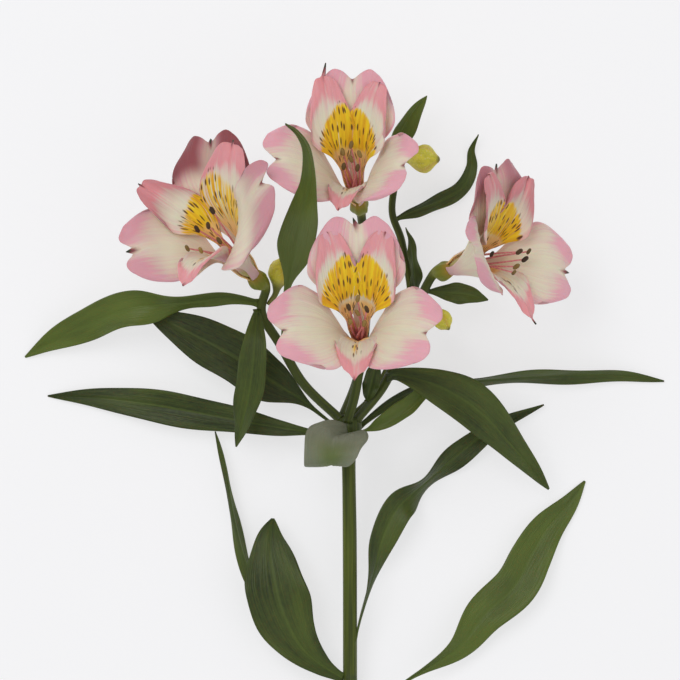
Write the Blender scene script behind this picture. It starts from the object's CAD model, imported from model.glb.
"""Shows the alstroemeria stem as it grows: stalks, leaves, buds and open flowers in full detail."""

import itertools
import math
from collections import namedtuple

import bmesh
import bpy
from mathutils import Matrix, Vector


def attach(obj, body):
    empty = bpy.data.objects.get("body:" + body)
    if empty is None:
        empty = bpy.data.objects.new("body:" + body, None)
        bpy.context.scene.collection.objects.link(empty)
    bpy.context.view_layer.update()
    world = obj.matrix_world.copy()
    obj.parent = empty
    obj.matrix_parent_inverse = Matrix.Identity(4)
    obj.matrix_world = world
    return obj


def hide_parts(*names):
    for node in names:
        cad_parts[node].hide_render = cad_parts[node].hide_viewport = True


bl_info = {
    "name": "Alstroemeria Stem",
    "version": (1, 0, 0),
    "blender": (4, 5, 0),
    "location": "View3D > Sidebar > Flower",
    "description": "Grows a cut alstroemeria stem over its solid model",
    "category": "Add Mesh",
}

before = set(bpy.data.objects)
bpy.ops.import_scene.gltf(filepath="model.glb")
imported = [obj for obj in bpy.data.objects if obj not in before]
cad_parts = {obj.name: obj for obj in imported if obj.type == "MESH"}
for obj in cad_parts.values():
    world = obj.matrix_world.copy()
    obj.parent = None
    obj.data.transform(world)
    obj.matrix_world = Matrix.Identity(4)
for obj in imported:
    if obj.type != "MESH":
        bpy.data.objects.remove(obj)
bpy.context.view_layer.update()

MM = 0.001
UP = (0, 0, 1)

# Where the point under the umbel stands in the part's frame, in millimetres
UMBEL = Vector((1.3, 67.7, 0.0))

# The stem, from the cut end to the swollen head that carries the rays
STEM_ROUTE = [
    (3, -255, 2.5), (1.5, -200, 3), (0.7, -140, 5), (0.7, -83, 8.5), (0.6, -40, 12.5),
    (0.2, -10, 15.4), (0, -4, 16), (0, 0, 16.3), (0, 3, 16.5),
]
STEM_RADII = [2.5, 2.5, 2.4, 2.4, 2.4, 2.4, 3.7, 4.6, 4.4]

# The rays, each up to where its ovary starts
RAY_RADIUS = 1.6
OVARY_LENGTH = 9.0
OVARY_RADIUS = 3.1
RAYS = {
    "ray_front": [(0.3, 4.0, 20.5), (2.2, 11, 22.8), (3.6, 19, 26)],
    "ray_top": [(-1.7, 4.25, 13.2), (4, 20, 9.5), (6.5, 45, 9), (5.5, 62, 11.5)],
    "ray_left": [(-3.9, 4.45, 17.7), (-15, 15.3, 18), (-22.7, 28.3, 19.5), (-29, 39, 21)],
    "ray_right": [(3.9, 4.3, 17.4), (12.3, 15, 18), (19, 30, 18.5), (24.5, 44, 19)],
}

# The ray behind the others, which ends in the upper bud
BACK_RAY = [
    (2.3, 4.4, 13.2), (10.5, 14, 10), (21, 40, 8.5), (18.5, 62, 9), (15, 73, 10.5), (16, 84, 14),
]
BACK_RAY_RADII = [1.6, 1.4, 1.3, 1.3, 1.2, 1.2]

# The buds, each with its stalk
Bud = namedtuple("Bud", "route radii")
BUDS = {
    "bud_upper": Bud(
        [(16.15, 84.6, 14.5), (18, 90.5, 18), (20, 91.3, 20), (25, 91, 22), (30, 90.7, 24)],
        [1.0, 1.1, 1.7, 4.3, 1.3],
    ),
    "bud_left": Bud(
        [(-25.9, 43, 21.6), (-24.4, 45.5, 22), (-23.8, 48, 22.7), (-22.8, 52.5, 24.2), (-22, 57, 26.5)],
        [1.0, 1.0, 1.7, 4.0, 1.2],
    ),
    "bud_right": Bud(
        [(27.3, 43.5, 19.3), (28.5, 41.5, 20.5), (29.5, 39.8, 21.5), (31.5, 37, 23.5), (33.5, 34.2, 25.5)],
        [0.9, 1.0, 1.5, 3.2, 1.0],
    ),
}

# A tepal's tip: its clock angle round the flower and its lean from the axis in degrees, shares of
# the usual breadth and length, the roll of the blade round its midrib in degrees, how long its
# point is and how far that turns sideways in millimetres, how much of the deep tone its lobes have,
# where its claw starts to widen if that isn't the usual share of the length, the side that folds
# away if there is one, and how much of the half width the fold takes
USUAL_POINT = 0.8
Tip = namedtuple(
    "Tip", "clock lean breadth length roll point point_turn deep claw_end folded_side folded",
    defaults=(1.0, 1.0, 0, USUAL_POINT, 0.0, 0.0, None, 0, 0.0),
)

# The flowers: where the tepals spring from the ovary, the way each flower looks, its upper side and
# its size, the tip of each tepal, and for each anther its side, lift and reach from the ovary's top
# and how pale it is
Flower = namedtuple("Flower", "ray base axis up size tips stamens")
FLOWERS = {
    "front": Flower(
        "ray_front", (4, 29.7, 40), (-0.05, 0.31, 0.95), (0, 1, 0), 1.0,
        {
            "dorsal": Tip(0, 74, 1.12, 1.04, point=4.0, point_turn=-1.2, deep=0.08),
            "lateral_left": Tip(-107, 68, 1.07),
            "lateral_right": Tip(109, 67, 1.07),
            "inner_left": Tip(-20, 68, 1.1),
            "inner_right": Tip(20, 68, 1.1),
            "inner_lower": Tip(180, 58, 1.05, 0.94),
        },
        [
            (-2.6, 3.5, 25, 0.1), (0.5, 5.5, 28, 0.8), (3.4, 2.5, 26, 0.1), (-2.2, -0.5, 22, 0.9),
            (2.4, -0.8, 21, 0.9), (0.2, 2.2, 23, 0.8),
        ],
    ),
    "top": Flower(
        "ray_top", (3.3, 77, 26), (-0.13, 0.5, 0.86), (0, 1, 0), 0.98,
        {
            "dorsal": Tip(2, 64, 1.06, 1.02, deep=0.08),
            "lateral_left": Tip(-101, 62, 1.08),
            "lateral_right": Tip(106, 58, 1.0, 0.91),
            "inner_left": Tip(-20, 58, 1.08, 1.04, point=4.6, point_turn=2.6),
            "inner_right": Tip(24.5, 58, 1.08),
            "inner_lower": Tip(182, 57, 0.93, 0.92),
        },
        [
            (-2.4, 4.5, 24, 0.8), (0.8, 5.5, 27, 0.6), (3.6, 3, 25, 0.8), (-2, 0, 22, 0.3),
            (2.6, 0, 21, 0.3), (0.4, 2.4, 23, 0.7),
        ],
    ),
    "left": Flower(
        "ray_left", (-32, 52, 30), (-0.49, 0.53, 0.69), (0.27, 0.85, -0.45), 1.06,
        {
            "dorsal": Tip(-8, 68, 1.02, 1.02, point=2.6, deep=1.0),
            "lateral_left": Tip(-122, 60, 1.1872, 0.99, point=4.0, deep=0.25),
            "lateral_right": Tip(
                68, 62, 1.2, 1.07, roll=-14, deep=0.4, claw_end=0.1, folded_side=-1, folded=0.38
            ),
            "inner_left": Tip(-66, 60, point=1.6, deep=0.4),
            "inner_right": Tip(20, 54, 1.42, roll=-16, point=1.8, deep=0.1),
            "inner_lower": Tip(168, 62, 1.056, 1.12),
        },
        [
            (-5.5, 0.5, 26, 0.0), (1, -0.5, 29, 0.1), (1.5, 4.5, 30, 0.0), (-5, -8, 28, 0.55),
            (0.5, -9, 28, 1.0), (3, -3, 24, 0.3),
        ],
    ),
    "right": Flower(
        "ray_right", (34.7, 54, 28), (0.68, 0.24, 0.7), (-0.25, 0.93, -0.1), 1.0,
        {
            "dorsal": Tip(-7, 66, 1.0, 0.96, point=3.6, deep=0.6, claw_end=0.1),
            "lateral_left": Tip(-91, 62, 0.952, point=0.0, deep=0.15, claw_end=0.02),
            "lateral_right": Tip(114, 84, 1.02, 0.94, point=3.2),
            "inner_left": Tip(-25, 60, deep=0.25),
            "inner_right": Tip(23, 54, 1.0, 0.93, deep=0.3),
            "inner_lower": Tip(186, 62, point=2.2),
        },
        [
            (-7, -1, 26, 0.0), (3, -2, 29, 0.1), (6.5, -2.5, 30, 0.2), (7, -4.5, 27, 0.0),
            (2, -6.5, 27, 0.6), (-1, -8.5, 28, 0.5),
        ],
    ),
}

# The two kinds of tepal: where it starts to widen and where it is at its broadest, as shares of the
# length, how much it narrows after that, how long its round end is as a share of the length and how
# square from 2 for an ellipse, and how deep its cup is at the claw and how much less at the tip
Kind = namedtuple("Kind", "claw_end full narrowing round_end squareness cup cup_loss")
KINDS = {
    "outer": Kind(0.24, 0.76, 0.22, 0.27, 2.5, 0.3, 0.3),
    "inner": Kind(0.3, 0.66, 0.32, 0.3, 2.1, 0.45, 0.25),
}

# How late along a tepal the rows of its mesh start to bend round the end
ROUND_END_ONSET = 1.6

# The six tepals: the kind, the clock angle round the flower's axis at the claw, length, half width,
# how far the claw stands from the axis and the depth of the notch in the tip as a share of the length
Tepal = namedtuple("Tepal", "kind claw_at length half ring notch")
TEPALS = {
    "dorsal": Tepal("outer", 0, 49, 14.4, 3.2, 0.108),
    "lateral_left": Tepal("outer", -120, 47.5, 14.4, 3.0, 0.126),
    "lateral_right": Tepal("outer", 120, 47.5, 14.4, 3.0, 0.126),
    "inner_left": Tepal("inner", -60, 48, 7.3, 2.0, 0.03),
    "inner_right": Tepal("inner", 60, 48, 7.3, 2.0, 0.03),
    "inner_lower": Tepal("inner", 180, 41, 6.8, 2.0, -0.05),
}

# How far a claw leans from the flower's axis in degrees, and its half width
CLAW_LEAN = 8
CLAW_HALF_WIDTH = 1.6

# How far a tepal is sunk in the ovary at its root, along the axis and inward, and where its first
# row stands
ROOT_SINK = (0.9, 1.1)
FIRST_RISE = 0.6

# The relief of a tepal: its pleats, fewer and broader than the real ones so that they show, the
# depth of the midrib's crease and how far the tip curls back
TEPAL_PLEATS = 8
CREASE_DEPTH = 0.4
TIP_CURL = 1.1

# The point of a tepal: its half width and where it starts as shares of the blade, and how far it
# stands in from the tip in millimetres
POINT_HALF_WIDTH = 0.085
POINT_START = 0.955
POINT_LIFT = 0.4

# The yellow fan over the two upper inner tepals of each flower: its half width, its place and half
# length as shares of the tepal, and how strong it is on the left and on the right tepal. At its
# sides it droops by a share of the tepal
FANS = {
    "front": (13.4, 0.675, 0.19, 1.0, 1.0),
    "top": (10.4, 0.64, 0.2, 1.0, 1.0),
    "left": (12.5, 0.62, 0.23, 0.75, 0.5),
    "right": (11.0, 0.64, 0.19, 0.8, 0.9),
}
FAN_DROOP = 0.09

# How much of its outer half an upper inner tepal lacks where its claw widens, and which side that is
OUTER_EDGE_CUT = 0.55
OUTER_EDGES = {"inner_left": -1, "inner_right": 1}

# The style's side, lift and reach, and its paleness
STYLE = (0.2, 0.3, 13, 0.0)

# How the filaments fill the throat: how far they rise before they turn, how far from the axis they
# stand halfway, and the share of their last sideways drift that they have made there
FILAMENT_RISE = 3.5
FILAMENT_SPREAD = 1.5
FILAMENT_DRIFT = 0.22

# How far from the axis and how high the filaments start, how they taper, and the outline of an
# anther: places along it and its radii, as shares of the anther's radius
FILAMENT_RING = 0.78
FILAMENT_START = 0.9
FILAMENT_TAPER = (1.0, 1.0, 1.0, 0.9, 0.6)
ANTHER_OUTLINE = ((-1.6, 0.35), (-1.0, 0.85), (0.0, 0.95), (1.0, 0.85), (1.6, 0.35))

# The leaves: the midrib's route, the way the upper face looks along it, the half width, how far
# along the leaf is widest, the share of the length that is a narrow neck, a share of the breadth,
# shifts of the middle and of the tip to the right of the midrib, how olive it is at its base and
# its tip, the point it is rooted at if it starts beside what carries it, whether its pale back
# shows from above, and how far the edges of a folded one stand from the usual shape: the left edge
# near the base and near the tip, then the right edge near the base and near the tip
Leaf = namedtuple(
    "Leaf", "route faces half widest neck breadth shift tip_shift tones root shows_back corners",
    defaults=(0.0, 1.0, 0.0, 0.0, (0.05, 0.1), None, False, ((0, 0, 0),) * 4),
)
LEAVES = {
    "leaf_left_far": Leaf(
        [
            (-30.9, 42.5, 22), (-41.3, 44.5, 22.5), (-54.3, 43, 21.5), (-74, 41, 17),
            (-89, 35.5, 9), (-101, 30, 3.2), (-110, 24.7, 0.6),
        ],
        [UP, (0, -0.8, 1), (0, -1, 0.5), (0.2, 0.2, 1), UP, UP, UP],
        6.4, 0.55, shift=-0.6, tip_shift=-0.6, tones=(0.4, 0.75),
    ),
    "leaf_left_broad": Leaf(
        [
            (-4.5, 1.4, 13.6), (-16, 7.5, 12), (-28.7, 15, 12.5), (-44.3, 25.5, 13),
            (-58, 35, 12), (-69, 42, 10),
        ],
        [UP, (0.1, -0.2, 1), (0, -0.1, 1), UP, UP, UP],
        9.4, 0.5, 0.24, 0.93, 2.5, -1.2, (-0.15, -0.3),
    ),
    "leaf_left_hanging": Leaf(
        [
            (-30.6, 39.5, 23.5), (-30.7, 37, 26.5), (-31.3, 28.3, 29.5), (-32.7, 15, 27.5),
            (-35.3, 3.3, 22), (-37.7, -6, 15),
        ],
        [(0, 0.5, 1), (0, 0.3, 1), (-0.2, 0, 1), (-0.3, -0.2, 1), (-0.3, -0.3, 1), (-0.3, -0.3, 1)],
        5.8, 0.4, breadth=0.88,
    ),
    "leaf_left_low": Leaf(
        [
            (-4.7, -1.8, 16.5), (-10, -1.3, 14.8), (-32.7, 3, 11.5), (-62.7, 8.3, 7),
            (-84, 11, 2.6), (-102, 11.7, 0.6),
        ],
        [UP, UP, (0, -0.2, 1), (0, -0.2, 1), UP, UP],
        5.6, 0.55, 0.08, 1.0, -0.9, -0.7, (-0.1, -0.25),
    ),
    "leaf_right_drooping": Leaf(
        [
            (14, 17.5, 20.5), (18, 18.2, 24.5), (30.7, 14.3, 27), (44, 6, 24.5), (57.3, -8, 17),
            (68, -20.5, 9),
        ],
        [UP, UP, (0.1, 0, 1), (0.3, 0.1, 1), (0.4, 0.2, 1), (0.4, 0.2, 1)],
        7.6, 0.42, breadth=0.96, tones=(0.05, 0.2),
    ),
    "leaf_right_far": Leaf(
        [
            (4.6, 1.4, 14.6), (15, 9, 13), (30, 15, 12.5), (45, 16.5, 11.5), (70.7, 18, 8),
            (91, 18, 3.4), (107.5, 16, 0.6),
        ],
        [UP, (0, -0.6, 1), (0, -1, 0.6), (0, -1, 0.5), (0, -1, 0.6), (0, -0.6, 1), UP],
        4.6, 0.5,
    ),
    "leaf_right_pale": Leaf(
        [(4.5, -0.8, 18), (9, 0.8, 18.5), (19, 7, 20.5), (25, 12, 20.8), (31, 15.5, 20)],
        [UP, (-0.3, -0.3, 1), UP, UP, UP],
        3.2, 0.5, neck=0.1, tones=(0.7, 1.0),
    ),
    "leaf_bract_small": Leaf(
        [(6.8, 10.9, 20), (7.5, 14, 23), (8.8, 19.5, 26), (10, 24, 27)],
        [UP, UP, UP, UP],
        3.0, 0.45, root=(6.5, 9.5, 18.6),
    ),
    "leaf_stem_right": Leaf(
        [
            (3.8, -66, 10.5), (7.5, -50, 11), (10, -37, 10.5), (16, -25, 9.5), (26.5, -17, 7.5),
            (37, -7, 5.5), (50, 2, 3.5), (66, 9.3, 2),
        ],
        [
            (1, -0.3, 0.3), (1, -0.3, 0.5), (0.4, -0.3, 1), (0.1, 0, 1), (0.6, -0.8, 0.5),
            (0.2, -0.3, 1), (0, 0.2, 1), UP,
        ],
        5.8, 0.42, 0.12, 0.92, 1.9, 1.4, (0.2, -0.1), (2.4, -71.8, 10.2),
    ),
    "leaf_stem_right_low": Leaf(
        [
            (4.3, -98, 7.8), (12, -91, 8), (21, -83.3, 8), (35.7, -73.3, 7.5), (45, -62, 6.5),
            (55, -52.7, 5), (60.7, -43, 3.5), (66.7, -33.3, 2.2), (74.3, -24.7, 1),
            (79.7, -17.3, 0.6),
        ],
        [UP, (0.4, -0.4, 1), (0.6, -0.6, 1), (0.3, -0.5, 1), UP, UP, UP, UP, UP, UP],
        6.4, 0.68, 0.3, 1.12, 1.8, 1.1, (0.45, 0.65),
    ),
    "leaf_stem_left": Leaf(
        [
            (-2.6, -84, 9.3), (-9, -79.5, 11), (-16.5, -71.5, 12), (-22, -60, 12),
            (-24.7, -48.3, 11.5), (-26, -38.3, 9.5), (-25, -30.5, 6.5),
        ],
        [UP, (0.1, 0.1, 1), UP, UP, (-0.1, 0, 1), (-0.2, 0, 1), (-0.2, 0, 1)],
        9.4, 0.6, 0.0, 1.1, -0.7, -0.4, (0.1, -0.05),
    ),
    "leaf_stem_left_thin": Leaf(
        [
            (-1.45, -85, 6.3), (-16, -78, 3), (-29.5, -58, 2.8), (-35.3, -43.3, 3),
            (-39, -28.3, 3.2), (-41.5, -13.3, 3.6), (-45, -1, 4),
        ],
        [
            UP, (-0.5, -0.5, 1), (-1, -0.3, 0.8), (-1, -0.2, 0.6), (-1, 0, 0.6), (-1, 0, 0.7),
            (-1, 0, 1),
        ],
        3.2, 0.62,
    ),
    "leaf_top_left": Leaf(
        [
            (-22.3, 30.5, 22.3), (-20.5, 46, 34), (-17.5, 60, 46), (-14.7, 71.7, 59.5),
            (-12.2, 82, 65.5), (-13, 92, 65), (-16.5, 98, 63.5), (-20.7, 101.3, 61),
        ],
        [
            (-0.3, -0.6, 1), (-0.3, -0.6, 1), (-0.3, -0.7, 1), (-0.4, -0.4, 1), (-1, -0.2, 0.8),
            (-1, -0.3, 0.5), (-1, -0.8, 0.6), (-0.5, -1, 1),
        ],
        6.2, 0.42, 0.36, 1.05, tones=(1.0, 0.45), root=(-22.5, 29.1, 21.2),
    ),
    "leaf_top_small": Leaf(
        [(16.3, 85, 11.9), (17.5, 93, 13), (22, 104, 20), (27.5, 111.5, 26)],
        [UP, UP, (0.3, -0.3, 1), (0.3, -0.3, 1)],
        3.4, 0.55, 0.0, 1.05, -1.2, -1.2, (0.5, 0.7), (15.7, 81.8, 13.2),
    ),
    "leaf_top_right": Leaf(
        [
            (16.8, 71, 8.6), (21, 73, 7), (31, 77, 4), (39, 82, 1.6), (42, 88.5, 0.6),
            (42, 94.5, 2), (44.3, 99.7, 5),
        ],
        [UP, (0, -0.5, 1), (0, -0.5, 1), UP, UP, (0.3, -0.3, 1), (0.6, -0.3, 1)],
        3.4, 0.3, breadth=0.88,
    ),
    "leaf_ray_back": Leaf(
        [(22.9, 44, 9.8), (22.5, 51.7, 12.5), (21.5, 61.7, 13.5), (19.5, 68, 13.5)],
        [(1, 0, 1), (1, 0, 1), (1, 0, 1), (1, 0, 1)],
        2.6, 0.4, root=(20.9, 41.3, 8.8),
    ),
    "leaf_ray_right": Leaf(
        [(27.5, 46.4, 18.2), (34, 46, 18.3), (40.7, 45.3, 17.5), (47.3, 43.5, 15.5)],
        [UP, UP, UP, UP],
        3.4, 0.5,
    ),
    "leaf_umbel_front": Leaf(
        [
            (-0.5, -2, 20.8), (-3, -2, 26), (-5, -4, 33), (-5.6, -8.5, 36), (-5.6, -11.8, 32),
            (-5.6, -12, 24),
        ],
        [(0, 1, 0.3), (0, 1, 0.3), (0, 1, 0.9), UP, (0, -1, 0.2), (0, -1, -0.2)],
        9.8, 0.55, shows_back=True,
        corners=((2.0, 3.4, 0), (-0.8, 0, 0), (2.6, 1.2, 0), (-2.4, 0.8, 0)),
    ),
}

# The relief of a leaf: its veins, fewer and broader than the real ones so that they show, the depth
# of its keel, how far its edges rise over its midrib as a share of the half width, and how far its
# base flares over the stalk
LEAF_VEINS = 9
KEEL_DEPTH = 0.3
EDGE_RISE = 0.16
BASE_FLARE = 0.5

# How much thicker a leaf is at its midrib than the usual thickness, and the share of that which its
# blade has
MIDRIB_SWELL = 1.4
BLADE_SHARE = 0.65

# How far each blade's pattern is moved from the one before, so that no two look the same
LEAF_SKIN_SHIFT = 7.0
TEPAL_SKIN_SHIFT = 5.0

# The light line of leaf scars down the bare stem: how many there are, how far apart they are, how
# far each turns and how far it stands out
SCARS = 5
SCAR_SPACING = 34.0
SCAR_TURN = 2.4
SCAR_HEIGHT = 0.13

# The ribs of the stem and of an ovary as shares of their radius, the rim of skin round the cut
# end, and how the stem's head closes over its top
STEM_RIB = 0.018
OVARY_RIB = 0.09
CUT_RIM = 0.25
HEAD_TOP_ROUTE = [(0, 4.6, 16.6), (0, 5.2, 16.6)]
HEAD_TOP_RADII = [2.8, 0.6]

# An ovary: how far down from its top its rings are, as shares of its length, its radii and how far
# it closes over the top
OVARY_SHARES = (1.0, 0.5, 0.12, 0.0)
OVARY_RADII = (OVARY_RADIUS, 2.6, 2.0, 0.8)
OVARY_TOP = 1.2

# The point that ends a bud
BUD_POINT = 0.9
BUD_POINT_RADIUS = 0.35

# How deep each piece is rooted in what carries it, and the radius of a ray there
RAY_ROOT = 1.6
RAY_ROOT_RADIUS = 1.9
BUD_ROOT = 1.4
LEAF_ROOT = 1.0

# How fine the meshes are: the rows and columns of a blade, and the sides of a stalk with the
# millimetres from one of its rings to the next
LEAF_GRID = (84, 18)
TEPAL_GRID = (60, 42)
STEM_MESH = (28, 1.6)
RAY_MESH = (24, 0.9)
BACK_RAY_MESH = (20, 1.2)
BUD_MESH = (24, 0.45)
FILAMENT_MESH = (10, 1.2)
ANTHER_MESH = (12, 0.3)
ROUTE_STEPS = 240
TRACK_STEPS = 36

# The camera looks straight down from here, and one pixel is a third of a millimetre at the flowers
PIXELS = 680
PIXEL_SIZE = MM / 3
CAMERA_DISTANCE = 2.0
FLOWER_HEIGHT = 0.04
SENSOR = 36.0
VIEW_FROM_UMBEL = (-8 * PIXEL_SIZE, 90 * PIXEL_SIZE)

# The studio in metres: half the side of the floor, how far the camera sees, and where the two
# lights stand from the flowers and how wide they are
FLOOR_HALF = 6.0
VIEW_DEPTH = 20.0
WHITE = (1.0, 1.0, 1.0)
KEY_PLACE, KEY_WIDTH = (-0.55, 0.5, 1.35), 0.9
FILL_PLACE, FILL_WIDTH = (0.8, -0.5, 1.2), 1.4


def linear(code):
    """An sRGB hex colour as linear red, green and blue."""
    values = [int(code[i : i + 2], 16) / 255 for i in (1, 3, 5)]
    return [v / 12.92 if v <= 0.04045 else ((v + 0.055) / 1.055) ** 2.4 for v in values]


def colour(name, code):
    """A colour setting with an sRGB hex default."""
    return bpy.props.FloatVectorProperty(
        name=name, description=f"{name} of the plant", default=linear(code), size=3, subtype="COLOR",
        min=0.0, max=1.0,
    )


def length(name, millimetres):
    """A length setting with a default in millimetres."""
    return bpy.props.FloatProperty(
        name=name, description=f"{name}, a real length", default=millimetres * MM, min=0.0,
        unit="LENGTH",
    )


class PlantSizes(bpy.types.PropertyGroup):
    """Sizes of the fine detail."""

    leaf_thickness: length("Leaf thickness", 0.45)
    leaf_veins: length("Leaf vein height", 0.07)
    leaf_waves: length("Leaf edge waves", 1.0)
    tepal_thickness: length("Tepal thickness", 0.55)
    tepal_veins: length("Tepal vein height", 0.1)
    tepal_waves: length("Tepal edge waves", 0.55)
    filament: length("Filament radius", 0.38)
    anther: length("Anther radius", 0.85)


class PlantColours(bpy.types.PropertyGroup):
    """Colours of the plant's skins."""

    leaf_dark: colour("Dark leaf green", "#212C15")
    leaf_olive: colour("Olive leaf green", "#5D6E2B")
    leaf_under: colour("Leaf underside", "#6C715E")
    leaf_pale: colour("Pale leaf veins", "#8E937E")
    stalk: colour("Stalk green", "#384210")
    stalk_light: colour("Stalk light green", "#727F24")
    pith: colour("Pith", "#C9CFA4")
    bud: colour("Bud yellow green", "#E3DD42")
    flush: colour("Orange flush", "#CF8A3A")
    ovary: colour("Ovary green", "#8E9430")
    cream: colour("Cream", "#EDE5CC")
    mauve: colour("Mauve edge", "#EABABF")
    pink: colour("Pink lobe", "#F3A9BC")
    salmon: colour("Salmon lobe", "#F2909A")
    deep: colour("Deep lobe", "#8F4E53")
    back: colour("Tepal back", "#C98690")
    yellow: colour("Yellow fan", "#FFD420")
    amber: colour("Amber streaks", "#E9A818")
    claw: colour("Orange claw", "#FFD288")
    claw_back: colour("Claw back", "#B9AE6A")
    dash: colour("Brown dashes", "#67401A")
    throat: colour("Red brown throat", "#E6A68A")
    point: colour("Green point", "#2E3A22")
    filament: colour("Filament", "#DE848C")
    anther: colour("Anther", "#3D2A1E")
    anther_pale: colour("Pale anther", "#A88A4C")


class StudioSettings(bpy.types.PropertyGroup):
    """The floor and the light."""

    floor: colour("Light table", "#A9A9AB")
    glow: bpy.props.FloatProperty(
        name="Table glow", description="Light that comes up through the table", default=0.59, min=0.0
    )
    key_power: bpy.props.FloatProperty(
        name="Key light", description="Power of the large light", default=7.2, unit="POWER"
    )
    fill_power: bpy.props.FloatProperty(
        name="Fill light", description="Power of the light opposite", default=2.3, unit="POWER"
    )
    sky: bpy.props.FloatProperty(
        name="Sky", description="Strength of the even light", default=0.5, min=0.0
    )
    wall: bpy.props.FloatProperty(
        name="Wall", description="How bright the wall behind the table looks", default=0.8, min=0.0
    )


def ease(x):
    """0 before 0, 1 after 1, and smooth between them."""
    x = max(0.0, min(1.0, x))
    return x * x * (3 - 2 * x)


def hump(x, middle, width):
    """1 at the middle, falling to a tenth one width and a half away."""
    return math.exp(-(((x - middle) / width) ** 2))


def curve_at(values, place):
    """The value of a smooth curve through a list, at a place between two of its members."""
    members = values
    if not isinstance(values[0], (int, float)):
        members = [Vector(value) for value in values]
    i = max(0, min(int(place), len(members) - 2))
    t = place - i
    p1, p2 = members[i], members[i + 1]
    p0 = members[i - 1] if i > 0 else p1 * 2 - p2
    p3 = members[i + 2] if i + 2 < len(members) else p2 * 2 - p1
    bend = (p0 * 2 - p1 * 5 + p2 * 4 - p3) * t**2 + (p1 * 3 - p0 - p2 * 3 + p3) * t**3
    return p1 + ((p2 - p0) * t + bend) / 2


def even_route(points, count):
    """A smooth curve through hand-set points, as evenly spaced spots with their places in the list."""
    places = [i * (len(points) - 1) / ROUTE_STEPS for i in range(ROUTE_STEPS + 1)]
    fine = [curve_at(points, place) for place in places]
    run = [0.0]
    for a, b in zip(fine, fine[1:]):
        run.append(run[-1] + (b - a).length)
    spots = []
    at = 0
    for n in range(count + 1):
        want = run[-1] * n / count
        while at < ROUTE_STEPS - 1 and run[at + 1] < want:
            at += 1
        share = min(1.0, (want - run[at]) / max(run[at + 1] - run[at], 1e-9))
        place = places[at] + (places[at + 1] - places[at]) * share
        spots.append((curve_at(points, place), place))
    return spots, run[-1]


def rooted(route, depth):
    """A route with a first point a little inside what carries it, so the piece grows out of it."""
    first, second = Vector(route[0]), Vector(route[1])
    return [first - (second - first).normalized() * depth, *route]


def leaf_width(along, widest):
    """A lance-shaped outline: narrow at the base, widest part way, and pointed."""
    base, tip = 0.16, 0.05
    if along < widest:
        return base + (1 - base) * math.sin(math.pi / 2 * along / widest) ** 1.4
    return tip + (1 - tip) * (1 - ((along - widest) / (1 - widest)) ** 1.9)


def flower_sides(flower):
    """The flower's axis, its right side as seen from in front, and its upper side."""
    axis = Vector(flower.axis).normalized()
    right = Vector(flower.up).cross(axis).normalized()
    return axis, right, axis.cross(right)


def tepal_width(along, kind, claw_end):
    """A tepal's outline, from 0 at the claw to 1 at its broadest."""
    narrowing = kind.narrowing * max(0.0, (along - kind.full) / (1 - kind.full)) ** 2.2
    return ease((along - claw_end) / (kind.full - claw_end)) ** 0.85 * (1 - narrowing)


def tepal_track(tepal, tip, size):
    """The leans of a tepal's midrib, and its spots: the rise along the axis and the way out."""
    step = tepal.length * size * tip.length / TRACK_STEPS
    leans = []
    for i in range(TRACK_STEPS + 1):
        opened = ease((i / TRACK_STEPS - 0.1) / 0.85)
        leans.append(math.radians(CLAW_LEAN + (tip.lean - CLAW_LEAN) * opened))
    track = [Vector((FIRST_RISE, tepal.ring * size))]
    for a, b in zip(leans, leans[1:]):
        track.append(track[-1] + Vector((math.cos((a + b) / 2), math.sin((a + b) / 2))) * step)
    return leans, track


def new_object(name, data):
    """A new object in the scene for a mesh, a light or a camera."""
    made = bpy.data.objects.new(name, data)
    bpy.context.scene.collection.objects.link(made)
    return made


def finish_piece(name, bm, materials, node):
    """A finished mesh piece that stands for a node of the solid model and moves with it."""
    mesh = bpy.data.meshes.new(name)
    bm.to_mesh(mesh)
    bm.free()
    for finish in materials:
        mesh.materials.append(finish)
    mesh.shade_smooth()
    piece = new_object(name, mesh)
    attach(piece, "root")
    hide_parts(node)
    return piece


def add_blade(name, surface, rows, columns, thickness, materials, node, slot):
    """A thin blade: a grid laid on surface(along, across), whose skin and zones paint it.

    The surface gives a place in millimetres, a share of the thickness, the place on the flattened
    blade in millimetres and the four paint zones. The back takes the second material.
    """
    bm = bmesh.new()
    skin = bm.verts.layers.float_vector.new("skin")
    zones = bm.verts.layers.float_color.new("zones")
    shares = bm.verts.layers.deform.new()
    bmesh.ops.create_grid(bm, x_segments=rows, y_segments=columns, size=0.5)
    for vert in bm.verts:
        place, share, flat, paint = surface(vert.co.x + 0.5, -vert.co.y * 2)
        vert.co = (place + UMBEL) * MM
        vert[skin] = flat
        vert[zones] = paint
        vert[shares][0] = share
    piece = finish_piece(name, bm, materials, node)
    piece.vertex_groups.new(name="thickness")
    wall = piece.modifiers.new("thickness", "SOLIDIFY")
    wall.thickness = thickness
    wall.offset = 0.0
    wall.vertex_group = "thickness"
    wall.material_offset = 1
    wall.material_offset_rim = 0
    wall.use_even_offset = False
    return piece


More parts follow.
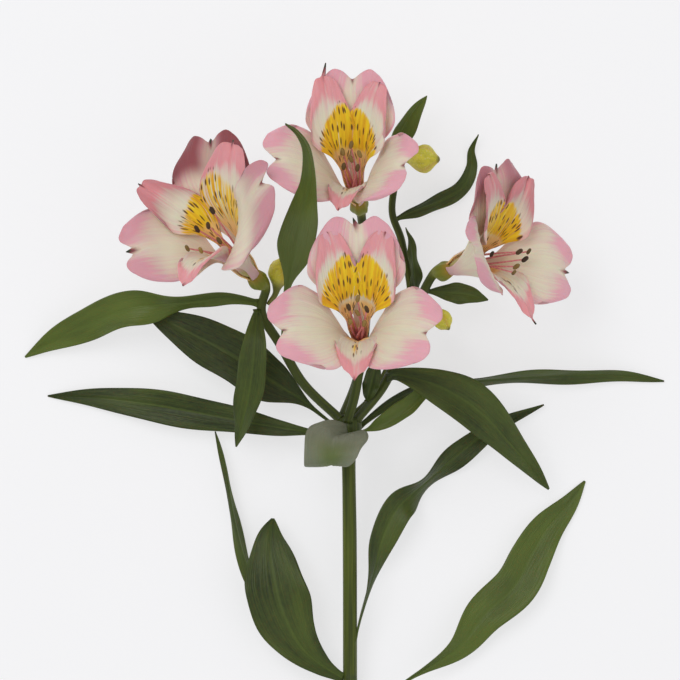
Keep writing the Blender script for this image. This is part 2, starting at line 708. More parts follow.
def add_tube(bm, route, radii, sides, step, shape=None, paint=None, finish=0):
    """A closed round stalk in a mesh, whose radius follows the list.

    Shape scales the radius by the angle and the run along the stalk. Paint gives the first three
    zones. A ring of the mesh stands after each step in millimetres.
    """
    skin = bm.verts.layers.float_vector["skin"]
    zones = bm.verts.layers.float_color["zones"]
    rough_length = sum((Vector(b) - Vector(a)).length for a, b in zip(route, route[1:]))
    count = max(4, round(rough_length / step))
    spots, whole = even_route(route, count)
    made = bmesh.ops.create_cone(
        bm, cap_ends=True, cap_tris=False, segments=sides, radius1=1, radius2=1, depth=1
    )["verts"]
    angles = {vert: math.atan2(vert.co.y, vert.co.x) for vert in made}
    faces = {face for vert in made for face in vert.link_faces}
    for face in faces:
        face.material_index = finish
    top = max((f for f in faces if len(f.verts) == sides), key=lambda f: f.calc_center_median().z)
    bottom = [vert for vert in made if vert not in top.verts]
    ahead = (spots[1][0] - spots[0][0]).normalized()
    side = ahead.orthogonal().normalized()

    def place_ring(ring, i, side):
        """Puts a ring of vertices, each with its angle, round one spot of the route."""
        spot, place = spots[i]
        ahead = (spots[min(i + 1, count)][0] - spots[max(i - 1, 0)][0]).normalized()
        side = (side - ahead * side.dot(ahead)).normalized()
        other = ahead.cross(side)
        run = whole * i / count
        for vert, angle in ring:
            radius = curve_at(radii, place)
            if shape:
                radius *= shape(angle, run, whole)
            out = side * math.cos(angle) + other * math.sin(angle)
            vert.co = (spot + out * radius + UMBEL) * MM
            vert.co.z = max(vert.co.z, 0.0)
            vert[skin] = (radius * math.cos(angle), radius * math.sin(angle), run)
            vert[zones] = (*(paint(angle, run, whole) if paint else (0.0, 0.0, 0.0)), 0.0)
        return side

    side = place_ring([(vert, angles[vert]) for vert in bottom], 0, side)
    order = [angles[loop.vert] for loop in top.loops]
    side = place_ring([(loop.vert, angle) for loop, angle in zip(top.loops, order)], 1, side)
    for i in range(2, count + 1):
        top = bmesh.ops.extrude_discrete_faces(bm, faces=[top])["faces"][0]
        side = place_ring([(loop.vert, angle) for loop, angle in zip(top.loops, order)], i, side)


def new_mesh():
    """An empty mesh with the layers that the materials read."""
    bm = bmesh.new()
    bm.verts.layers.float_vector.new("skin")
    bm.verts.layers.float_color.new("zones")
    return bm


def add(tree, kind, settings=None, inputs=None, output=0):
    """Adds a shader node, sets or links its inputs, and hands back one of its outputs."""
    made = tree.nodes.new("ShaderNode" + kind)
    for name, value in (settings or {}).items():
        setattr(made, name, value)
    for name, value in (inputs or {}).items():
        socket = made.inputs[name]
        if isinstance(value, bpy.types.NodeSocket):
            tree.links.new(value, socket)
        elif socket.type == "RGBA":
            socket.default_value = (*value, 1.0)
        else:
            socket.default_value = value
    return made.outputs[output]


# Settings of the nodes that mix colours, sum values and ease them from 0 to 1
BLEND = {"data_type": "RGBA"}
BLEND_RESULT = 2
TIMES = {"operation": "MULTIPLY", "use_clamp": True}
TIMES_PLUS = {"operation": "MULTIPLY_ADD", "use_clamp": True}
EASED = {"interpolation_type": "SMOOTHSTEP"}


def start_material(name):
    """A new material with its shader, the piece's flattened place and its four paint zones."""
    made = bpy.data.materials.new(name)
    made.use_nodes = True
    tree = made.node_tree
    skin = add(tree, "Attribute", {"attribute_name": "skin"}, None, "Vector")
    colour_zones = add(tree, "Attribute", {"attribute_name": "zones"}, None, "Color")
    last_zone = add(tree, "Attribute", {"attribute_name": "zones"}, None, "Alpha")
    zones = [add(tree, "SeparateColor", None, {"Color": colour_zones}, i) for i in range(3)]
    return made, tree, tree.nodes["Principled BSDF"], skin, [*zones, last_zone]


def streaks(tree, skin, scale, detail=3.0, low=0.35, high=0.65):
    """A pattern of streaks or patches from 0 to 1, whose scale is its waves to a millimetre."""
    stretched = add(tree, "Mapping", None, {"Vector": skin, "Scale": scale})
    noise = add(tree, "TexNoise", None, {"Vector": stretched, "Scale": 1.0, "Detail": detail})
    return add(tree, "MapRange", None, {"Value": noise, 1: low, 2: high})


def dress(tree, shader, tint, layers, relief, depth, values):
    """Lays colours over each other, and gives the shader its relief and values.

    A layer is the share of it at each spot, its strength and its colour.
    """
    for share, strength, shade in layers:
        if strength < 1:
            share = add(tree, "Math", TIMES, {0: share, 1: strength})
        tint = add(tree, "Mix", BLEND, {0: share, 6: tint, 7: shade}, BLEND_RESULT)
    tree.links.new(tint, shader.inputs["Base Color"])
    raised = add(tree, "Bump", None, {"Height": relief, "Strength": 0.5, "Distance": depth * MM})
    tree.links.new(raised, shader.inputs["Normal"])
    for name, value in values.items():
        shader.inputs[name].default_value = value


def leaf_material(name, base, light, through, roughness):
    """Living leaf skin: waxy and satin, with fine parallel veins and green that shows through.

    Zones are the olive tone, the midrib and the light that shows through.
    """
    made, tree, shader, skin, zones = start_material(name)
    patches = streaks(tree, skin, (0.035, 0.12, 1.0))
    fibres = streaks(tree, skin, (0.04, 2.2, 1.0), 2.0, 0.3, 0.7)
    mottle = streaks(tree, skin, (0.5, 0.9, 1.0), 4.0, 0.4, 0.75)
    olive = add(tree, "Math", TIMES_PLUS, {0: patches, 1: 0.5, 2: zones[0]})
    layers = [
        (olive, 1, light),
        (fibres, 0.3, light),
        (mottle, 0.22, light),
        (zones[1], 1, light),
        (zones[2], 1, through),
    ]
    dress(tree, shader, base, layers, fibres, 0.2, {
        "Roughness": roughness, "Specular IOR Level": 0.28, "Subsurface Weight": 0.05,
        "Subsurface Scale": MM,
    })
    return made


def stalk_material(colours):
    """Fresh green stalk: smooth and slightly waxy, with long fibres under the skin.

    Zones are the ovary's green, its orange flush and the dark scars and joints.
    """
    made, tree, shader, skin, zones = start_material("fresh_stalk")
    fibres = streaks(tree, skin, (1.1, 1.1, 0.02))
    patches = streaks(tree, skin, (0.15, 0.15, 0.03), 2.0)
    layers = [
        (fibres, 0.55, colours.stalk_light),
        (patches, 0.3, colours.leaf_dark),
        (zones[0], 1, colours.ovary),
        (zones[1], 1, colours.flush),
        (zones[2], 1, colours.point),
    ]
    dress(tree, shader, colours.stalk, layers, fibres, 0.15, {
        "Roughness": 0.42, "Specular IOR Level": 0.28, "Subsurface Weight": 0.08,
        "Subsurface Scale": MM,
    })
    return made


def cut_material(colours):
    """The cut end of the stalk: wet pale pith with darker bundles."""
    made, tree, shader, skin, _ = start_material("cut_pith")
    bundles = add(tree, "TexVoronoi", None, {"Vector": skin, "Scale": 2.2})
    between = add(tree, "MapRange", EASED, {"Value": bundles, 1: 0.12, 2: 0.3})
    layers = [(between, 1, colours.pith)]
    dress(tree, shader, colours.stalk_light, layers, bundles, 0.1, {"Roughness": 0.35})
    return made


def bud_material(colours):
    """Closed bud: tight waxy tepals, yellow green with an orange flush and pale specks.

    Zones are the green stalk, the flush in the seams and the dark tip.
    """
    made, tree, shader, skin, zones = start_material("closed_bud")
    fibres = streaks(tree, skin, (1.2, 1.2, 0.12))
    specks = streaks(tree, skin, (2.5, 2.5, 2.5), 1.0, 0.62, 0.72)
    layers = [
        (fibres, 0.24, colours.leaf_olive),
        (specks, 0.4, colours.cream),
        (zones[0], 1, colours.stalk),
        (zones[1], 1, colours.flush),
        (zones[2], 1, colours.point),
    ]
    dress(tree, shader, colours.bud, layers, fibres, 0.25, {
        "Roughness": 0.4, "Subsurface Weight": 0.1, "Subsurface Scale": MM,
    })
    return made


def petal_material(name, colours, lobe, claw, throat, dashes=False):
    """Living tepal: soft and matte with a faint silky sheen, veined lengthwise.

    Zones are the blush of the lobes, the yellow fan, the claw and past a half the throat, and the
    deep lobes and past 1 the green point.
    """
    made, tree, shader, skin, zones = start_material(name)
    veins = streaks(tree, skin, (0.05, 1.9, 1.0), 3.0, 0.3, 0.7)
    broad_veins = streaks(tree, skin, (0.03, 0.75, 1.0), 2.0)
    cloud = streaks(tree, skin, (0.1, 0.16, 1.0), 2.0, 0.3, 0.7)
    share = add(tree, "Math", TIMES_PLUS, {0: cloud, 1: 0.26, 2: zones[0]})
    share = add(tree, "Math", TIMES_PLUS, {0: veins, 1: 0.24, 2: share})
    share = add(tree, "Math", TIMES_PLUS, {0: broad_veins, 1: 0.2, 2: share})
    share = add(tree, "Math", {"operation": "SUBTRACT", "use_clamp": True}, {0: share, 1: 0.3})
    layers = [
        (share, 1, colours.mauve),
        (add(tree, "MapRange", EASED, {"Value": share, 1: 0.3, 2: 0.9}), 1, lobe),
        (zones[3], 1, colours.deep),
    ]
    in_claw = add(tree, "MapRange", EASED, {"Value": zones[2], 1: 0.0, 2: 0.5})
    in_throat = add(tree, "MapRange", EASED, {"Value": zones[2], 1: 0.5, 2: 1.0})
    if dashes:
        rays = add(tree, "Math", TIMES_PLUS, {0: veins, 1: 1.0, 2: 0.32})
        ragged = add(tree, "Math", TIMES, {0: zones[1], 1: rays})
        gold = add(
            tree, "Mix", BLEND, {0: broad_veins, 6: colours.yellow, 7: colours.amber}, BLEND_RESULT
        )
        layers.append((add(tree, "MapRange", EASED, {"Value": ragged, 1: 0.22, 2: 0.5}), 1, gold))
    layers.append((in_claw, 1, claw))
    if dashes:
        cells = {
            "Vector": add(tree, "Mapping", None, {"Vector": skin, "Scale": (0.19, 0.95, 1.0)}),
            "Scale": 1.0,
            "Randomness": 0.9,
        }
        flat = {"voronoi_dimensions": "2D"}
        marks = add(tree, "TexVoronoi", flat, cells, "Distance")
        marks = add(tree, "MapRange", EASED, {"Value": marks, 1: 0.34, 2: 0.16})
        chance = add(tree, "TexVoronoi", flat, cells, "Color")
        chance = add(tree, "SeparateColor", None, {"Color": chance})
        chance = add(tree, "MapRange", EASED, {"Value": chance, 1: 0.35, 2: 0.6})
        marks = add(tree, "Math", TIMES, {0: marks, 1: chance})
        place = add(tree, "MapRange", EASED, {"Value": zones[1], 1: 0.08, 2: 0.3})
        place = add(tree, "Math", {"operation": "MAXIMUM"}, {0: place, 1: in_claw})
        layers.append((add(tree, "Math", TIMES, {0: marks, 1: place}), 1, colours.dash))
    green = add(tree, "MapRange", EASED, {"Value": zones[3], 1: 1.1, 2: 1.5})
    layers += [(in_throat, 1, throat), (green, 1, colours.point)]
    dress(tree, shader, colours.cream, layers, veins, 0.22, {
        "Roughness": 0.5, "Specular IOR Level": 0.3, "Sheen Weight": 0.12, "Subsurface Weight": 0.18,
        "Subsurface Scale": 1.5 * MM,
    })
    return made


def plain_material(name, base, roughness, grain, other):
    """A matte living skin whose grain, such as pollen, breaks up its colour."""
    made, tree, shader, skin, zones = start_material(name)
    lumps = streaks(tree, skin, (grain, grain, grain), 2.0)
    bright = [min(1.0, value * 1.8) for value in base]
    layers = [(lumps, 0.5, bright), (zones[0], 1, other)]
    dress(tree, shader, base, layers, lumps, 0.3, {"Roughness": roughness})
    return made


class FLOWER_OT_stalks(bpy.types.Operator):
    """Grow the stem with its leaf scars and the rays with their ribbed ovaries"""

    bl_idname = "flower.stalks"
    bl_label = "Stem and rays"

    def execute(self, context):
        colours = context.scene.plant_colours
        stalk, cut = stalk_material(colours), cut_material(colours)

        def scar(angle, run, ahead, width):
            """How much of the nearest leaf scar is at a spot of the stem."""
            number = round(run / SCAR_SPACING)
            if not 0 < number <= SCARS:
                return 0.0
            facing = ease(math.cos(angle - number * SCAR_TURN))
            return hump(run, number * SCAR_SPACING + ahead, width) * facing

        def stem_shape(angle, run, whole):
            ribs = STEM_RIB * math.cos(angle * 5 + run * 0.01)
            return 1 + ribs + SCAR_HEIGHT * scar(angle, run, 0, 1.3)

        def stem_paint(angle, run, whole):
            return 0.0, 0.0, 0.6 * scar(angle, run, 1, 0.9) + 0.45 * ease((run - whole + 14) / 8)

        bm = new_mesh()
        route, radii = [*STEM_ROUTE, *HEAD_TOP_ROUTE], [*STEM_RADII, *HEAD_TOP_RADII]
        add_tube(bm, route, radii, *STEM_MESH, stem_shape, stem_paint)
        bm.faces.ensure_lookup_table()
        end = min((f for f in bm.faces if len(f.verts) > 4), key=lambda f: f.calc_center_median().y)
        end.material_index = 1
        bmesh.ops.inset_region(bm, faces=[end], thickness=CUT_RIM * MM, depth=0.0)
        finish_piece("main_stem_stalk", bm, [stalk, cut], "main_stem")

        def ray_shape(angle, run, whole):
            swollen = ease((run - whole + OVARY_LENGTH + 2) / 3)
            return 1 + OVARY_RIB * swollen * math.cos(angle * 6) * ease((whole - run) / 2)

        def ray_paint(angle, run, whole):
            swollen = ease((run - whole + OVARY_LENGTH + 3) / 4)
            return swollen * 0.7, 0.4 * ease((run - whole + 4.5) / 4), 0.35 * (1 - swollen)

        for flower in FLOWERS.values():
            axis, base = Vector(flower.axis).normalized(), Vector(flower.base)
            path = rooted(RAYS[flower.ray], RAY_ROOT)
            ovary = [base - axis * OVARY_LENGTH * share for share in OVARY_SHARES]
            radii = [RAY_ROOT_RADIUS, *[RAY_RADIUS] * len(path), *OVARY_RADII]
            bm = new_mesh()
            add_tube(
                bm, [*path, *ovary, base + axis * OVARY_TOP], radii, *RAY_MESH, ray_shape, ray_paint
            )
            finish_piece(f"{flower.ray}_stalk", bm, [stalk], flower.ray)

        bm = new_mesh()
        add_tube(bm, rooted(BACK_RAY, RAY_ROOT), [RAY_ROOT_RADIUS, *BACK_RAY_RADII], *BACK_RAY_MESH)
        finish_piece("ray_back_stalk", bm, [stalk], "ray_back")
        return {"FINISHED"}


class FLOWER_OT_buds(bpy.types.Operator):
    """Grow the closed buds on their stalks"""

    bl_idname = "flower.buds"
    bl_label = "Buds"

    def execute(self, context):
        skin = bud_material(context.scene.plant_colours)

        def seam(angle, run, width):
            """1 on the three seams between the tepals, and 0 beside them."""
            return hump(math.sin(angle * 1.5 + run * 0.05), 0.0, width)

        def shape(angle, run, whole):
            body = ease((run / whole - 0.35) / 0.2)
            plump = 1 + 0.24 * hump(run / whole, 0.84, 0.09)
            return plump * (1 + body * (0.05 - 0.13 * seam(angle, run, 0.22)))

        def paint(angle, run, whole):
            body = ease((run / whole - 0.35) / 0.3)
            tip = 0.8 * ease((run / whole - 0.95) / 0.05)
            return 0.8 * (1 - body), body * (0.05 + 0.4 * seam(angle, run, 0.3)), tip

        for name, bud in BUDS.items():
            end, before = Vector(bud.route[-1]), Vector(bud.route[-2])
            tip = end + (end - before).normalized() * BUD_POINT
            radii = [bud.radii[0], *bud.radii, BUD_POINT_RADIUS]
            bm = new_mesh()
            add_tube(bm, [*rooted(bud.route, BUD_ROOT), tip], radii, *BUD_MESH, shape, paint)
            finish_piece(f"{name}_closed", bm, [skin], name)
        return {"FINISHED"}


class FLOWER_OT_leaves(bpy.types.Operator):
    """Grow the leaves, with their parallel veins and waved edges"""

    bl_idname = "flower.leaves"
    bl_label = "Leaves"

    def execute(self, context):
        sizes, colours = context.scene.plant_sizes, context.scene.plant_colours
        green = colours.leaf_olive
        skins = [
            leaf_material("leaf_upper_skin", colours.leaf_dark, green, green, roughness=0.38),
            leaf_material(
                "leaf_under_skin", colours.leaf_under, colours.leaf_pale, green, roughness=0.55
            ),
        ]
        for seed, (name, leaf) in enumerate(LEAVES.items()):
            self.grow_leaf(name, leaf, seed, sizes, skins[::-1] if leaf.shows_back else skins)
        return {"FINISHED"}

    def grow_leaf(self, name, leaf, seed, sizes, skins):
        """One leaf on its route."""
        route = [Vector(leaf.root), *leaf.route] if leaf.root else rooted(leaf.route, LEAF_ROOT)
        faces = [leaf.faces[0], *leaf.faces]
        rows = LEAF_GRID[0]
        spots, whole = even_route(route, rows)
        corners = [Vector(corner) for corner in leaf.corners]
        veins, waves = sizes.leaf_veins / MM, sizes.leaf_waves / MM

        def half_at(along, across):
            """The half width: a lance with a neck, uneven edges and a base that flares."""
            uneven = 1 + 0.05 * math.sin(along * 9 + seed)
            uneven += 0.03 * math.sin(along * 21 + seed * 2 + across * 2)
            half = leaf.half * leaf.breadth * leaf_width(along, leaf.widest) * uneven
            half *= 1 - 0.8 * ease((leaf.neck + 0.12 - along) / 0.24) * ease(leaf.neck / 0.05)
            return half + BASE_FLARE * ease(1 - along / 0.03)

        def height_at(along, across, half):
            """How far the skin stands over the midrib: raised edges, waves, veins and the keel."""
            size = half / leaf.half
            phase = seed * 1.7 + (1.3 if across > 0 else 0)
            ripple = waves * size * math.sin(along * 15 + phase) * across**2
            vein = veins * size * math.cos(across * math.pi * LEAF_VEINS)
            keel = hump(across * half, 0, 0.55) * ease(along / 0.1) * ease((1 - along) / 0.1)
            return EDGE_RISE * half * abs(across) + ripple + vein - KEEL_DEPTH * keel

        def paint_at(along, across, half):
            """How olive the leaf is, its light midrib, and the green that shows through its back."""
            tone = leaf.tones[0] + (leaf.tones[1] - leaf.tones[0]) * along
            midrib = 0.45 * hump(across * half, 0, 0.35) * ease((1 - along) / 0.3)
            glow = 0.8 * ease((along - 0.36) / 0.25) * hump(across, 0.0, 0.6) * leaf.shows_back
            return tone, midrib, glow, 0.0

        def surface(along, across):
            row = round(along * rows)
            spot, place = spots[row]
            ahead = spots[min(row + 1, rows)][0] - spots[max(row - 1, 0)][0]
            side = ahead.cross(curve_at(faces, place)).normalized()
            face = side.cross(ahead.normalized())
            half = half_at(along, across)
            shift = leaf.shift + (leaf.tip_shift - leaf.shift) * ease((along - 0.5) / 0.5)
            spot = spot + side * shift * ease(along / 0.25)
            spot = spot + side * (half * across) + face * height_at(along, across, half)
            edge = 0 if across > 0 else 2
            corner = corners[edge].lerp(corners[edge + 1], ease((along - 0.36) / 0.4))
            spot += corner * abs(across)
            spot.z = max(spot.z, sizes.leaf_thickness / MM)
            thick = 0.55 + 0.9 * hump(across * half, 0, 0.8) * (1 - along)
            thick += 0.6 * ease(1 - along / 0.1)
            flat = (along * whole, across * leaf.half, seed * LEAF_SKIN_SHIFT)
            return spot, min(1.0, thick * BLADE_SHARE), flat, paint_at(along, across, half)

        thickness = sizes.leaf_thickness * MIDRIB_SWELL
        add_blade(f"{name}_blade", surface, *LEAF_GRID, thickness, skins, name, "leaf_green")


class FLOWER_OT_tepals(bpy.types.Operator):
    """Grow the six tepals of each flower"""

    bl_idname = "flower.tepals"
    bl_label = "Tepals"

    def execute(self, context):
        sizes, colours = context.scene.plant_sizes, context.scene.plant_colours
        claw, throat = colours.claw, colours.throat
        outer = petal_material("outer_tepal_face", colours, colours.pink, claw, throat)
        inner = petal_material("inner_tepal_face", colours, colours.salmon, claw, throat, True)
        back = petal_material("tepal_back", colours, colours.back, colours.mauve, colours.claw_back)
        faces = {"outer": outer, "inner": inner}
        pairs = itertools.product(FLOWERS, TEPALS)
        for seed, (flower_name, tepal_name) in enumerate(pairs):
            skins = [faces[TEPALS[tepal_name].kind], back]
            self.grow_tepal(flower_name, tepal_name, seed, sizes, skins)
        return {"FINISHED"}

    def grow_tepal(self, flower_name, tepal_name, seed, sizes, skins):
        """One tepal, from its claw on the ovary to its lobed tip."""
        flower, tepal = FLOWERS[flower_name], TEPALS[tepal_name]
        tip, kind = flower.tips[tepal_name], KINDS[tepal.kind]
        base = Vector(flower.base)
        axis, right, up = flower_sides(flower)
        leans, track = tepal_track(tepal, tip, flower.size)
        broadest = tepal.half * tip.breadth * flower.size
        claw_end = kind.claw_end if tip.claw_end is None else tip.claw_end
        fan_half, fan_at, fan_span, *fan_strengths = FANS[flower_name]
        veins, waves = sizes.tepal_veins / MM, sizes.tepal_waves / MM

        def half_at(along, across):
            """The half width, less what a folded side or the outer edge beside the claw lacks."""
            half = CLAW_HALF_WIDTH
            half += (broadest - CLAW_HALF_WIDTH) * tepal_width(along, kind, claw_end)
            if across * tip.folded_side > 0:
                half *= 1 - tip.folded * ease(along / 0.3)
            if across * OUTER_EDGES.get(tepal_name, 0) > 0:
                half *= 1 - OUTER_EDGE_CUT * ease((along - 0.2) / 0.15) * ease((0.76 - along) / 0.3)
            return half

        def reach_at(along, across, column):
            """How far along the midrib a row reaches: less in the notch and round the end."""
            notch = tepal.notch * max(0.0, 1 - abs(across) / 0.55) ** 1.6
            square = kind.squareness
            rounding = kind.round_end * (1 - max(0.0, 1 - abs(across) ** square) ** (1 / square))
            rounding += 0.003 * math.sin(column * 17 + seed) * ease((abs(column) - 0.1) / 0.2)
            return along * (1 - (notch + rounding) * along**ROUND_END_ONSET)

        def height_at(along, across, half):
            """How far the skin stands in from the midrib: cup, pleats, crease, waves and curl."""
            cup = (kind.cup - kind.cup_loss * along) * half * across**2
            pleat = veins * math.cos(across * math.pi * TEPAL_PLEATS + seed) * half / broadest
            crease = CREASE_DEPTH * hump(across * half, 0, 0.8) * ease((along - 0.2) / 0.2)
            phase = seed * 1.9 + (2.2 if across > 0 else 0.0)
            ripple = math.sin(along * 19 + phase) * abs(across) ** 3 * ease((along - 0.35) / 0.3)
            ripple += 0.8 * math.sin(across * 7 + phase) * ease((along - 0.75) / 0.25)
            curl = TIP_CURL * ease((along - 0.84) / 0.16) ** 2
            return cup + pleat - crease + waves * ripple - curl

        def outer_paint(along, across, half):
            """The blush, the fan and the dark claw of an outer tepal."""
            beside = abs(across)
            between_lobes = (0.4 if tepal_name == "dorsal" else 0.85) * hump(across, 0, 0.16)
            lobe = ease((along - 0.68) / 0.3) * (1 - between_lobes)
            blush = 0.04 + 0.42 * ease((along - 0.3) / 0.3) * beside**3
            blush += 0.9 * lobe * (0.35 + 0.65 * hump(beside, 0.55, 0.3))
            blush -= 0.2 * hump(across * half, 0, 0.7)
            return blush, 0.0, 0.42 * ease(1 - along / 0.3)

        def inner_paint(along, across, from_middle):
            """The blush, the fan and the dark claw and throat of an inner tepal."""
            beside = abs(across)
            blush = 0.04 + 0.35 * ease((along - 0.3) / 0.3) * beside**3
            blush += ease((along - 0.72) / 0.2) * (0.6 + 0.4 * beside)
            aside = from_middle / fan_half
            away = math.hypot(aside, (along - fan_at + FAN_DROOP * aside) / fan_span)
            fan = (1 - ease((away - 0.6) / 0.6)) * fan_strengths[tepal_name == "inner_right"]
            if tepal_name == "inner_lower":
                fan = 0.5 * hump(across, 0, 0.3) * hump(along, 0.6, 0.2)
            dark = 0.5 * ease((0.5 - along) / 0.08) + 0.5 * ease((0.22 - along) / 0.16)
            return blush, fan, dark

        def surface(along, column):
            across = math.sin(column * math.pi / 2)
            half = half_at(along, across)
            reach = reach_at(along, across, column)
            at = min(int(reach * TRACK_STEPS), TRACK_STEPS - 1)
            rise, out = track[at].lerp(track[at + 1], reach * TRACK_STEPS - at)
            root = ease(1 - along / 0.07)
            rise -= ROOT_SINK[0] * root
            out -= ROOT_SINK[1] * root * flower.size
            lean = curve_at(leans, reach * TRACK_STEPS)
            turned = (tip.clock - tepal.claw_at) * ease(reach / 0.95)
            clock = math.radians(tepal.claw_at + turned)
            outward = up * math.cos(clock) + right * math.sin(clock)
            flat_side = right * math.cos(clock) - up * math.sin(clock)
            facing = axis * math.sin(lean) - outward * math.cos(lean)
            rolled = math.radians(tip.roll) * ease((along - 0.2) / 0.5)
            sideways = flat_side * math.cos(rolled) + facing * math.sin(rolled)
            inward = facing * math.cos(rolled) - flat_side * math.sin(rolled)
            ahead = axis * math.cos(lean) + outward * math.sin(lean)
            place = base + axis * rise + outward * out + sideways * (half * across)
            place += inward * height_at(along, across, half)
            spike = max(0.0, 1 - abs(across) / POINT_HALF_WIDTH)
            spike *= ease((along - POINT_START) / (1 - POINT_START))
            place += (ahead * tip.point + sideways * tip.point_turn + inward * POINT_LIFT) * spike
            thick = 0.42 + 0.5 * ease(1 - along / 0.3) + 0.25 * hump(across * half, 0, 1.2)
            thick += 0.5 * spike
            flat = (along * tepal.length, across * broadest, seed * TEPAL_SKIN_SHIFT)
            if tepal.kind == "outer":
                paint = outer_paint(along, across, half)
            else:
                from_middle = abs((place - base).dot(right)) / flower.size
                paint = inner_paint(along, across, from_middle)
            green = spike * min(1.0, 0.6 * tip.point / USUAL_POINT)
            rich = tip.deep * ease((along - 0.66) / 0.16) * (0.5 + 0.5 * ease((abs(across) - 0.1) / 0.3))
            return place, min(1.0, thick), flat, (*paint, rich * (1 - green) + 2 * green)

        add_blade(
            f"{flower_name}_{tepal_name}_tepal", surface, *TEPAL_GRID, sizes.tepal_thickness, skins,
            f"{flower_name}_{tepal_name}", f"{tepal.kind}_tepal",
        )


def circle(turn):
    """A spot on the unit circle."""
    return math.cos(turn), math.sin(turn)


def bearing(x, y):
    """The angle round the throat, from its lower side."""
    return math.atan2(x, -y)


class FLOWER_OT_stamens(bpy.types.Operator):
    """Grow the filaments with their anthers, and the style"""

    bl_idname = "flower.stamens"
    bl_label = "Stamens"

    def execute(self, context):
        sizes, colours = context.scene.plant_sizes, context.scene.plant_colours
        skins = [
            plain_material("filament_skin", colours.filament, 0.45, 1.5, colours.cream),
            plain_material("anther_pollen", colours.anther, 0.85, 4.0, colours.anther_pale),
        ]
        thin, thick = sizes.filament / MM, sizes.anther / MM
        for flower_name, flower in FLOWERS.items():
            bm = new_mesh()
            self.grow_stamens(bm, flower, thin, thick)
            finish_piece(
                f"{flower_name}_stamens_grown", bm, skins, f"{flower_name}_stamens"
            )
        return {"FINISHED"}

    def grow_stamens(self, bm, flower, thin, thick):
        """The filaments of one flower, which keep their order round the throat, and the style."""
        axis, right, up = flower_sides(flower)
        base = Vector(flower.base)
        count = len(flower.stamens)
        starts = sorted(
            (circle(math.tau * i / count) for i in range(count)), key=lambda spot: bearing(*spot)
        )
        middle = sum(anther[1] for anther in flower.stamens) / count
        order = sorted(
            range(count), key=lambda i: bearing(flower.stamens[i][0], flower.stamens[i][1] - middle)
        )
        ends = [(i, flower.stamens[i], start) for i, start in zip(order, starts)]
        for i, (side, lift, reach, pale), (x, y) in [*ends, (count, STYLE, (0.0, 0.0))]:
            out = right * x + up * y
            away = right * side + up * lift
            root = base + out * FILAMENT_RING * flower.size + axis * FILAMENT_START
            turn = root + axis * FILAMENT_RISE + out * 0.3
            belly = out * FILAMENT_SPREAD + away * FILAMENT_DRIFT + axis * reach / 2
            belly = base + belly * flower.size
            end = base + (away + axis * reach) * flower.size
            route = [base - axis * 0.3 + out * 0.4, root, turn, belly, end]
            radii = [thin * share for share in FILAMENT_TAPER]
            add_tube(bm, route, radii, *FILAMENT_MESH)
            if i < count:
                swing = (end - belly).normalized() + right * 0.5 * math.sin(i * 2.3) + up * 0.6
                self.grow_anther(bm, end, swing.normalized() * thick, thick, pale)

    def grow_anther(self, bm, middle, swing, thick, pale):
        """An anther of two lobes that swings on its filament's end."""

        def lobes(angle, run, whole):
            return 0.86 + 0.16 * math.cos(angle * 2)

        def unripe(angle, run, whole):
            return pale, 0.0, 0.0

        path = [middle + swing * share for share, _ in ANTHER_OUTLINE]
        radii = [thick * share for _, share in ANTHER_OUTLINE]
        add_tube(bm, path, radii, *ANTHER_MESH, lobes, unripe, 1)


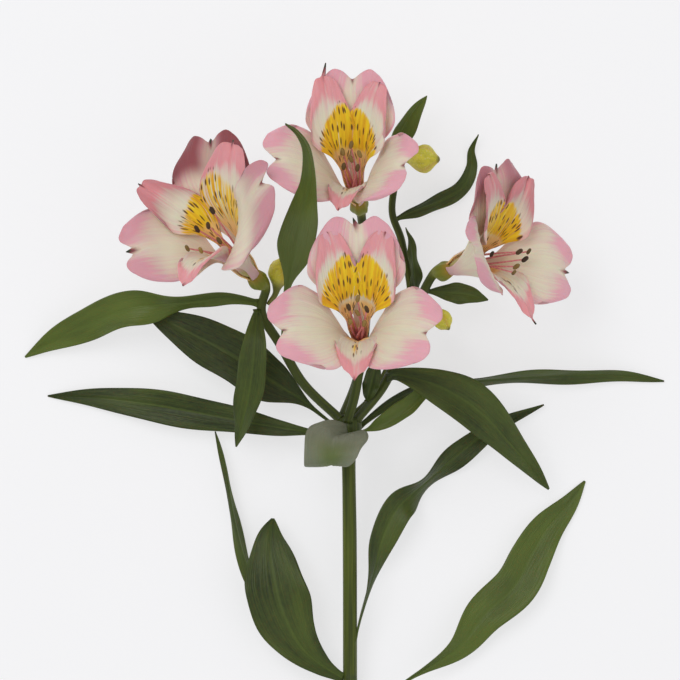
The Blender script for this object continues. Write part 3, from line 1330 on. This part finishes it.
class FLOWER_OT_stage(bpy.types.Operator):
    """Lay the lit table, and set the studio light and the camera over the flowers"""

    bl_idname = "flower.stage"
    bl_label = "Floor, light and camera"

    def execute(self, context):
        scene = context.scene
        studio = scene.studio
        bm = bmesh.new()
        bmesh.ops.create_grid(bm, x_segments=1, y_segments=1, size=FLOOR_HALF)
        mesh = bpy.data.meshes.new("floor")
        bm.to_mesh(mesh)
        bm.free()
        mesh.materials.append(self.table_material(studio))
        new_object("floor", mesh)

        world = bpy.data.worlds.new("even_light")
        world.use_nodes = True
        tree = world.node_tree
        light = add(tree, "Background", None, {"Color": WHITE, "Strength": studio.sky})
        wall = add(tree, "Background", None, {"Color": WHITE, "Strength": studio.wall})
        seen = add(tree, "LightPath", None, None, "Is Camera Ray")
        both = add(tree, "MixShader", None, {0: seen, 1: light, 2: wall})
        tree.links.new(both, tree.nodes["World Output"].inputs["Surface"])
        scene.world = world
        scene.view_settings.view_transform = "Standard"

        middle = Vector((UMBEL.x * MM, UMBEL.y * MM, FLOWER_HEIGHT))
        for name, power, place, width in (
            ("key", studio.key_power, KEY_PLACE, KEY_WIDTH),
            ("fill", studio.fill_power, FILL_PLACE, FILL_WIDTH),
        ):
            lamp = bpy.data.lights.new(name, "AREA")
            lamp.energy = power
            lamp.size = width
            light = new_object(name, lamp)
            light.location = middle + Vector(place)
            light.rotation_euler = (-Vector(place)).to_track_quat("-Z", "Y").to_euler()

        lens = bpy.data.cameras.new("camera")
        lens.sensor_width = SENSOR
        lens.lens = SENSOR * CAMERA_DISTANCE / (PIXELS * PIXEL_SIZE)
        lens.clip_end = VIEW_DEPTH
        camera = new_object("camera", lens)
        camera.location = middle + Vector((*VIEW_FROM_UMBEL, CAMERA_DISTANCE))
        scene.camera = camera
        return {"FINISHED"}

    def table_material(self, studio):
        """Opal glass of a light table: even and shadowless, lit from within."""
        paint = bpy.data.materials.new("light_table")
        paint.use_nodes = True
        values = {
            "Base Color": (*studio.floor, 1.0),
            "Roughness": 0.9,
            "Specular IOR Level": 0.0,
            "Emission Color": (1.0, 1.0, 1.01, 1.0),
            "Emission Strength": studio.glow,
        }
        for name, value in values.items():
            paint.node_tree.nodes["Principled BSDF"].inputs[name].default_value = value
        return paint


class FLOWER_PT_panel(bpy.types.Panel):
    """The flower's sizes, colours and steps"""

    bl_idname = "FLOWER_PT_panel"
    bl_label = "Alstroemeria stem"
    bl_space_type = "VIEW_3D"
    bl_region_type = "UI"
    bl_category = "Flower"

    def draw(self, context):
        scene = context.scene
        for group in (scene.plant_sizes, scene.plant_colours, scene.studio):
            box = self.layout.box()
            for name in group.bl_rna.properties.keys():
                if name not in ("rna_type", "name"):
                    box.prop(group, name)
        for operator in OPERATORS:
            self.layout.operator(operator.bl_idname)


OPERATORS = (
    FLOWER_OT_stalks,
    FLOWER_OT_buds,
    FLOWER_OT_leaves,
    FLOWER_OT_tepals,
    FLOWER_OT_stamens,
    FLOWER_OT_stage,
)
CLASSES = (PlantSizes, PlantColours, StudioSettings, *OPERATORS, FLOWER_PT_panel)


def register():
    for each in CLASSES:
        bpy.utils.register_class(each)
    bpy.types.Scene.plant_sizes = bpy.props.PointerProperty(type=PlantSizes)
    bpy.types.Scene.plant_colours = bpy.props.PointerProperty(type=PlantColours)
    bpy.types.Scene.studio = bpy.props.PointerProperty(type=StudioSettings)


def unregister():
    del bpy.types.Scene.studio
    del bpy.types.Scene.plant_colours
    del bpy.types.Scene.plant_sizes
    for each in reversed(CLASSES):
        bpy.utils.unregister_class(each)


def main():
    """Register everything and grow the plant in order."""
    register()
    bpy.ops.flower.stalks()
    bpy.ops.flower.buds()
    bpy.ops.flower.leaves()
    bpy.ops.flower.tepals()
    bpy.ops.flower.stamens()
    bpy.ops.flower.stage()
    bpy.context.view_layer.update()


if __name__ == "__main__":
    main()
